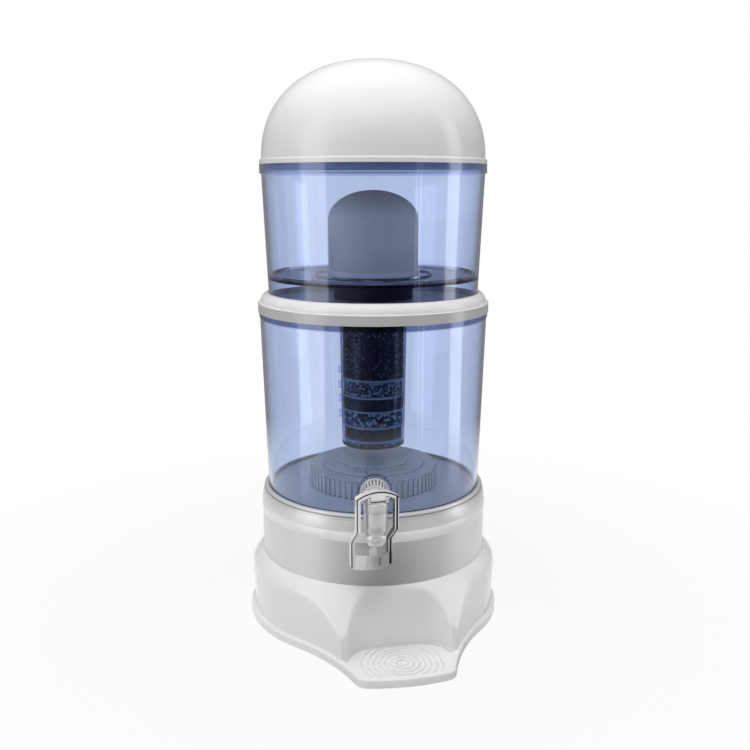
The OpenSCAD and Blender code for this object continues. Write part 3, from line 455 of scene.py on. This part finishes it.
# Painted light and shade: a brighter copy of the white plastic lights the ring's roll, and its band
# below 362 mm is painted darker, as shade.
ring_white_lit_and_shaded = moulded("white_plastic_ring", (0.95, 0.95, 0.955), (0.97, 0.97, 0.97), (0.16, 0.24))
paint_shade_by_height(ring_white_lit_and_shaded, [(350, 0.6), (361.8, 0.6), (362.8, 1), (375, 1)])
# Painted light: a brighter copy of the white plastic for the trim bead, which lies in shade.
trim_white_brightened = moulded("white_plastic_trim", (0.95, 0.95, 0.955), (0.98, 0.98, 0.98), (0.16, 0.24))
satin_painted_shadows = moulded("silver_plastic_pale", (0.74, 0.74, 0.745), (0.8, 0.8, 0.805), (0.3, 0.4),
                Metallic=0.25, rounding=0)
# Painted shadow: dark lines at 147.2 to 147.9 mm and 149.5 to 151.3 mm, where the seat ring's lip and
# groove lie in shade.
paint_shade_by_height(satin_painted_shadows, [(140, 1), (147.2, 1), (147.4, 0.78), (147.9, 0.78), (148.1, 1), (149.2, 1),
                    (149.5, 0.5), (151.3, 0.5), (151.5, 1), (155, 1)])
# Painted shade in the collar nut's grooves and corners.
white_tap = moulded("white_plastic_tap", (0.78, 0.78, 0.785), (0.84, 0.84, 0.845), (0.2, 0.26),
                    corners=(2.2 * MM, 0.12), rounding=0.2 * MM)
# Painted shade in the corners of the tap's body and cap.
plating = moulded("tap_plating", (0.78, 0.78, 0.775), (0.84, 0.84, 0.835), (0.285, 0.35),
                  Metallic=0.32, rounding=0.35 * MM, corners=(2.5 * MM, 0.25))
lever_low, lever_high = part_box("tap_lever")
lever_middle = [(one + other) / 2 for one, other in zip(lever_low, lever_high)]
loop_turn = math.radians(5.5)
loop_half_w = 21.5 * MM
loop_bar_w = 4 * MM
paddle_h = 15 * MM
arch_r = 38.81 * MM
arch_centre = (lever_middle[0], lever_middle[1], lever_high[2] - arch_r)
chrome = chrome_with_painted_reflections("chrome_metal", (0.97, 0.97, 0.97), (0.02, 0.02, 0.022), (0.1, 0.16), 0.2,
                      loop_turn, lever_middle, loop_half_w, loop_bar_w, lever_low[2] + paddle_h,
                      arch_centre, arch_r)
steel = moulded("steel", (0.5, 0.5, 0.51), (0.62, 0.62, 0.63), (0.285, 0.4),
                Metallic=1.0, rounding=0.2 * MM, peel=0.8 * MM)
dark_plastic = moulded("black_plastic", (0.003, 0.011, 0.05), (0.006, 0.017, 0.065), (0.5, 0.6),
                       Specular_IOR_Level=0.2)
rubber = moulded("seal_rubber", (0.16, 0.16, 0.18), (0.21, 0.21, 0.23), (0.55, 0.7),
                 peel=0.7 * MM, peel_depth=0.01 * MM)
navy = (0.16, 0.2, 0.42)
rim_blue = (0.18, 0.21, 0.36)
deep_blue = (0.5, 0.56, 0.78)
foot_blue = (0.66, 0.73, 0.9)
wide = 0.8 * MM
thin = 0.3 * MM

# Painted shade: the bands deepen the tank's tint under the divider ring, at the upper tank's foot and
# floor edge, and under the lid. Each band has its start and end height in metres, its tint and the
# height over which it fades
tank_shade_bands = ((0.3448, 0.3524, rim_blue, thin),
              (0.3665, 0.3885, foot_blue, wide),
              (0.3888, 0.3915, navy, thin),
              (0.5017, 0.5116, deep_blue, wide))
tank = clear("clear_tank", (0.765, 0.825, 0.95), tank_shade_bands, (0.0, 0.03), (0.237, 0.37, 0.72), 45,
             frost=(151.2 * MM, 0.85))
case_absorb = (0.4, 0.5, 0.8)
case = clear("clear_case", (0.68, 0.8, 0.98), (), (0.06, 0.12), case_absorb, 12, ior=1.2)
blue_case = clear("clear_case_foot", (0.42, 0.58, 0.95), (), (0.0, 0.03), case_absorb, 12, ior=1.2)
# Painted shade in the grooves between the case's ribs.
milky_case = clear("clear_case_milky", (0.9, 0.95, 1.0), (), (0.12, 0.2), case_absorb, 12, milky=0.6,
                   corners=(2.5 * MM, 0.2))
# Painted shade: the white ceramic gets a mid grey, which stands in for the shade it lies in.
ceramic = moulded("ceramic_white", (0.62, 0.62, 0.62), (0.7, 0.7, 0.69), (0.5, 0.68),
                  peel=0.9 * MM, peel_depth=0.03 * MM, rounding=0.8 * MM)
felt = moulded("pad_fibre", (0.42, 0.43, 0.46), (0.52, 0.53, 0.56), (0.8, 0.95),
               peel=1.1 * MM, peel_depth=0.25 * MM, rounding=0)
fine_carbon = granular("carbon", (0.003, 0.008, 0.03), (0.012, 0.02, 0.05), 1.9 * MM, 0.5 * MM,
                       (0.5, 0.8), 0.2)
night = (0.003, 0.012, 0.055)
slate = (0.02, 0.038, 0.1)
ash = (0.2, 0.24, 0.33)
chalk = (0.72, 0.72, 0.72)
coarse_carbon = grains("carbon_coarse", ((0, night), (0.85, slate)), (0.5, 0.7), 0.7 * MM, 0.05)
dark_grit = grains("carbon_grit", ((0, night), (0.45, slate), (0.88, ash)), (0.4, 0.7), 0.7 * MM, 0.1)
ball_tones = ((0, night), (0.25, slate), (0.5, ash), (0.8, chalk))
balls = grains("minerals_balls", ball_tones, (0.35, 0.6), 0.9 * MM)
grit_tones = ((0, night), (0.35, slate), (0.55, ash), (0.75, chalk))
grit = grains("minerals_grit", grit_tones, (0.3, 0.5), 0.7 * MM)
stone_tones = ((0, (0.5, 0.5, 0.5)), (0.3, (0.66, 0.65, 0.63)), (0.65, (0.8, 0.79, 0.77)))
pebbles = grains("minerals_stones", stone_tones, (0.3, 0.5), 1.6 * MM)

finish_with(white, "tap_shank_nut", "ceramic_base", "ceramic_nut")
finish_with(stand_white, "base_plate", "base_skirt")
finish_with(lid_white_dimmed, "dome_lid")
finish_with(ring_white_lit_and_shaded, "divider_ring")
finish_with(trim_white_brightened, "neck_trim")
finish_with(silver, "stand_neck")
finish_with(satin_painted_shadows, "seat_ring")
finish_with(white_tap, "tap_collar_nut")
finish_with(plating, "tap_body", "tap_cap")
finish_with(chrome, "tap_lever")
finish_with(steel, "base_screws", "lever_pin", "stem_link_pin", "valve_stem", "valve_spring")
finish_with(dark_plastic, "cartridge_cap")
finish_with(rubber, "tap_washer_outer", "tap_washer_inner", "valve_seal", "ceramic_washer")
finish_with(tank, "lower_tank", "upper_tank")
finish_with(case, "cartridge_shell")
finish_with(blue_case, "cartridge_foot")
finish_with(milky_case, "mineral_case", "case_cover")
finish_with(ceramic, "ceramic_dome")
finish_with(felt, "filter_pads")
finish_with(fine_carbon, "zeolite_bed")


# The valve's spring, which is held by the cap at its top, as a copy with its own mesh on the lower body

spring = bpy.data.objects.new("valve_spring_coil", frame["nodes"]["valve_spring"].data.copy())
bpy.context.scene.collection.objects.link(spring)
spring.modifiers.new("smooth_moulding", "NODES").node_group = smoothing
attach(spring, "lower")
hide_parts("valve_spring")
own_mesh(spring)


# Loose grains, balls and pebbles in place of the plain beds

chance = random.Random(20)


def unit_lump():
    """Points and faces of a round lump of radius 1."""
    shape = bmesh.new()
    bmesh.ops.create_icosphere(shape, subdivisions=2, radius=1)
    points = [point.co.copy() for point in shape.verts]
    faces = [[point.index for point in face.verts] for face in shape.faces]
    shape.free()
    return points, faces


def bed_piece(node, spots, core, angular, flat, look, body):
    """One mesh of lumps at spots (x, y, z, radius) round a core (radius, low, high)."""
    lump_points, lump_faces = unit_lump()
    shape = bmesh.new()
    core_r, core_low, core_high = core
    made = bmesh.ops.create_cone(shape, cap_ends=True, segments=48, radius1=core_r, radius2=core_r,
                                 depth=core_high - core_low)
    bmesh.ops.translate(shape, verts=made["verts"], vec=(0, 0, (core_low + core_high) / 2))
    mesh = bpy.data.meshes.new(node + "_lumps")
    shape.to_mesh(mesh)
    shape.free()
    points = [tuple(point.co) for point in mesh.vertices]
    faces = [tuple(face.vertices) for face in mesh.polygons]
    mesh.clear_geometry()
    for x, y, z, radius in spots:
        turn = Euler([chance.uniform(0, math.tau) for axis in range(3)]).to_matrix()
        stretch = Vector([1 - flat * chance.random() for axis in range(3)])
        start = len(points)
        for point in lump_points:
            reach = radius * (1 - angular * chance.random())
            at = turn @ (point * stretch) * reach
            points.append((x + at.x, y + at.y, z + at.z))
        faces += [tuple(start + corner for corner in face) for face in lump_faces]
    mesh.from_pydata(points, [], faces)
    mesh.shade_smooth()
    mesh.materials.append(look)
    piece = bpy.data.objects.new(node + "_grains", mesh)
    bpy.context.scene.collection.objects.link(piece)
    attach(piece, body)
    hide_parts(node)


def ring_of_spots(reach, z, size, shift):
    """Places round the axis at that distance from it, a lump's size apart."""
    count = max(1, int(math.tau * reach / size))
    spots = []
    for number in range(count):
        turn = math.tau * (number + shift + chance.uniform(-0.15, 0.15)) / count
        radius = size / 2 * chance.uniform(0.85, 1.0)
        spots.append((reach * math.cos(turn), reach * math.sin(turn), z, radius))
    return spots


def packed_bed(node, size, angular, flat, look):
    """Rows of lumps against the cartridge's wall, with a second layer behind their gaps."""
    wall_gap = 0.3 * MM
    row_step = 0.8 * size
    core_inset = 1.1 * size
    low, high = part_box(node)
    wall = high[0] - wall_gap
    rows = max(2, round((high[2] - low[2]) / row_step))
    spots = []
    for row in range(rows):
        z = low[2] + size / 2 + (high[2] - low[2] - size) * row / (rows - 1)
        spots += ring_of_spots(wall - size / 2, z, size, 0.5 * (row % 2))
        spots += ring_of_spots(wall - size, z, size, 0.5 * (row % 2) + 0.5)
    core = (wall - core_inset, low[2], high[2])
    bed_piece(node, spots, core, angular, flat, look, "upper")


packed_bed("coarse_carbon_bed", 3.6 * MM, 0.22, 0.35, coarse_carbon)
packed_bed("mineral_ball_bed", 4.2 * MM, 0.0, 0.05, balls)
packed_bed("silica_bed", 3.8 * MM, 0.25, 0.3, grit)
packed_bed("carbon_bed", 3.6 * MM, 0.22, 0.35, dark_grit)

pebble = 10 * MM
pebble_step = 0.98 * pebble
ring_step = 0.88 * pebble
low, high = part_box("mineral_stones")
wall = high[0] - 0.2 * MM
stone_spots = ring_of_spots(wall - pebble / 2, low[2] + pebble / 2, pebble, 0)
reach = wall - pebble / 2
while reach > 0:
    stone_spots += ring_of_spots(reach, high[2] - pebble / 2, pebble_step, 0.5)
    reach -= ring_step
stone_core = (wall - 0.8 * pebble, low[2], high[2] - 0.6 * pebble)
bed_piece("mineral_stones", stone_spots, stone_core, 0.1, 0.35, pebbles, "lower")


# Floor, which stays white in the view and keeps a soft shadow near the stand

floor_half = 9.0
floor_z = -0.2 * MM
shadow_near = 0.22
shadow_far = 0.7
shadow_share = 0.12
card_light = 0.9
card_near = 0.46
card_far = 0.8
floor_mesh = bpy.data.meshes.new("floor")
corners = [(-floor_half, -floor_half, floor_z), (floor_half, -floor_half, floor_z),
           (floor_half, floor_half, floor_z), (-floor_half, floor_half, floor_z)]
floor_mesh.from_pydata(corners, [], [(0, 1, 2, 3)])
floor = bpy.data.objects.new("floor", floor_mesh)
bpy.context.scene.collection.objects.link(floor)
floor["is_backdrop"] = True


def seen_straight(tree, kinds):
    """1 for rays of those kinds, 0 for the rest. What glass mirrors isn't seen straight."""
    path = add(tree, "LightPath")
    total = path.outputs[kinds[0]]
    for kind in kinds[1:]:
        total = math_node(tree, "MAXIMUM", total, path.outputs[kind])
    if "Is Transmission Ray" not in kinds:
        return total
    unbounced = math_node(tree, "LESS_THAN", path.outputs["Glossy Depth"], 0.5)
    return math_node(tree, "MULTIPLY", total, unbounced)


def round_bearing(tree, vector):
    """0 to 1 for the bearing round the object: back, left side, front, right side and back."""
    parts = parts_of(tree, vector)
    ahead_part = math_node(tree, "MULTIPLY", parts["Y"], -1.0)
    angle = math_node(tree, "ARCTAN2", parts["X"], ahead_part)
    return between(tree, angle, 0, 1, -math.pi, math.pi), parts


studio_peak = 3.0
studio_strip = 2.6
studio_dark = 0.035
studio_walls = [(-180, 0.3), (-125, 0.35), (-112, 0.3), (-88, 0.5), (-86, 2.2), (-59, studio_strip),
                (-57, 0.35), (-40, 0.2), (-10, studio_dark), (25, studio_dark)]
for streak in (34, 38, 41.5, 47):
    studio_walls += [(streak - 0.8, 0.1), (streak, studio_strip), (streak + 0.8, 0.1)]
studio_walls += [(50, 0.2), (69, 0.35), (71, 2.9), (86, 2.9), (88, 0.35), (110, 0.35),
                 (130, 0.3), (180, 0.3)]
through_walls = [(-180, 1.0), (-152, 1.0), (-140, 1.3), (-120, 1.5), (-75, 1.5), (-50, 0.9), (-25, 0.4),
                 (30, 0.4), (60, 0.9), (100, 1.5), (130, 1.2), (180, 1.0)]
near_floor = [(-180, 1.0), (-100, 1.1), (-60, 0.95), (-35, 0.42), (-8, 0.04), (12, 0.04), (40, 0.5),
              (70, 1.0), (180, 1.0)]


def studio(tree, bearing, walls):
    """The brightness that shows in reflections by its bearing, as a share of the peak."""
    stops = [((turn + 180) / 360, [value / studio_peak] * 3) for turn, value in walls]
    return colour_ramp(tree, bearing, stops)


floor_look, floor_tree, floor_shader = new_material("pale_floor")
floor_shader.inputs["Base Color"].default_value = (0.82, 0.82, 0.83, 1)
floor_shader.inputs["Roughness"].default_value = 0.6
floor_shader.inputs["Specular IOR Level"].default_value = 0.2
matt = floor_shader.outputs["BSDF"]
distance = add(floor_tree, "VectorMath", operation="LENGTH")
floor_tree.links.new(place(floor_tree), distance.inputs[0])
away = distance.outputs["Value"]
floor_bearing, floor_parts = round_bearing(floor_tree, place(floor_tree))
close_by = emitter(floor_tree, "Emission", studio_peak, studio(floor_tree, floor_bearing, near_floor))
far_off = emitter(floor_tree, "Emission", studio_peak, studio(floor_tree, floor_bearing, studio_walls))
reflected = mix_shaders(floor_tree, between(floor_tree, away, 0, 1, 0.5, 0.9), close_by, far_off)
card = emitter(floor_tree, "Emission", card_light)
near_edge = between(floor_tree, away, 0, 1, card_near - 0.03, card_near + 0.03)
far_edge = between(floor_tree, away, 1, 0, card_far - 0.1, card_far + 0.1)
in_front = between(floor_tree, floor_parts["Y"], 1, 0, -0.4, -0.3)
card_zone = math_node(floor_tree, "MULTIPLY", near_edge, far_edge)
card_share = math_node(floor_tree, "MULTIPLY", card_zone, in_front)
with_card = mix_shaders(floor_tree, card_share, reflected, card)
in_mirror = seen_straight(floor_tree, ["Is Glossy Ray"])
by_mirror = mix_shaders(floor_tree, in_mirror, matt, with_card)
white_share = between(floor_tree, away, 1 - shadow_share, 1, shadow_near, shadow_far)
white_floor = mix_shaders(floor_tree, white_share, matt, emitter(floor_tree, "Emission"))
in_view = seen_straight(floor_tree, ["Is Camera Ray", "Is Transmission Ray"])
by_view = mix_shaders(floor_tree, in_view, by_mirror, white_floor)
floor_tree.links.new(by_view, floor_tree.nodes["Material Output"].inputs["Surface"])
floor_mesh.materials.append(floor_look)


# World: white where it is seen, soft light all round, and the studio's strips and ceiling in reflections

world_light = 0.27
front_dim = 0.35
ceiling = 0.8
world = bpy.data.worlds.new("studio")
world.use_nodes = True
bpy.context.scene.world = world
sky = world.node_tree
sky.nodes.clear()
direction = add(sky, "TexCoord").outputs["Generated"]
sky_bearing, sky_parts = round_bearing(sky, direction)
graded = between(sky, sky_parts["Y"], front_dim, 1.0, -0.95, -0.2)
tone = add(sky, "CombineColor")
for channel in ("Red", "Green", "Blue"):
    sky.links.new(graded, tone.inputs[channel])
lit = emitter(sky, "Background", world_light, tone.outputs["Color"])
strips = emitter(sky, "Background", studio_peak, studio(sky, sky_bearing, studio_walls))
overhead = emitter(sky, "Background", ceiling)
plain = emitter(sky, "Background")
through = emitter(sky, "Background", studio_peak, studio(sky, sky_bearing, through_walls))
upwards = between(sky, sky_parts["Z"], 0, 1, 0.35, 0.75)
mirrored = mix_shaders(sky, upwards, strips, overhead)
by_mirror = mix_shaders(sky, seen_straight(sky, ["Is Glossy Ray"]), lit, mirrored)
by_wall = mix_shaders(sky, seen_straight(sky, ["Is Transmission Ray"]), by_mirror, through)
by_view = mix_shaders(sky, seen_straight(sky, ["Is Camera Ray"]), by_wall, plain)
sky_out = add(sky, "OutputWorld")
sky.links.new(by_view, sky_out.inputs["Surface"])


# Lamps: soft boxes over the object, at both sides and in front

lamp_aim = Vector((0, 0, 0.3))


def softbox(name, at, width, height, power):
    """A rectangular lamp at that place, turned towards the object. Mirrors don't show it."""
    lamp = bpy.data.lights.new(name, "AREA")
    lamp.shape = "RECTANGLE"
    lamp.size = width
    lamp.size_y = height
    lamp.energy = power
    holder = bpy.data.objects.new(name, lamp)
    holder.location = at
    holder.rotation_euler = (lamp_aim - Vector(at)).to_track_quat("-Z", "Y").to_euler()
    holder.visible_glossy = False
    bpy.context.scene.collection.objects.link(holder)


softbox("left_box", (-1.8, 0.05, 0.75), 1.3, 1.6, 5.2)
softbox("right_box", (1.65, -0.15, 0.75), 0.6, 1.6, 2.8)
softbox("top_box", (0.0, -0.1, 2.0), 1.6, 1.4, 17.5)
softbox("front_box", (-0.35, -1.2, 2.0), 1.2, 0.9, 14.5)


# Camera at the photograph's place

eye = Vector((-0.1826, -1.0048, 0.490))
pitch = math.radians(11.82)
aside = math.radians(0.113)
focal = 43.68
ahead = Vector((-eye.x, -eye.y, 0)).normalized()
right = Vector((ahead.y, -ahead.x, 0))
level = ahead * math.cos(aside) + right * math.sin(aside)
look = level * math.cos(pitch) - Vector((0, 0, 1)) * math.sin(pitch)
lens = bpy.data.cameras.new("camera")
lens.lens = focal
lens.sensor_width = 36.0
lens.clip_start = 0.05
lens.clip_end = 50.0
camera = bpy.data.objects.new("camera", lens)
camera.location = eye
camera.rotation_euler = look.to_track_quat("-Z", "Y").to_euler()
bpy.context.scene.collection.objects.link(camera)
bpy.context.scene.camera = camera
bpy.context.scene.view_settings.view_transform = "Standard"

low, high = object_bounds()
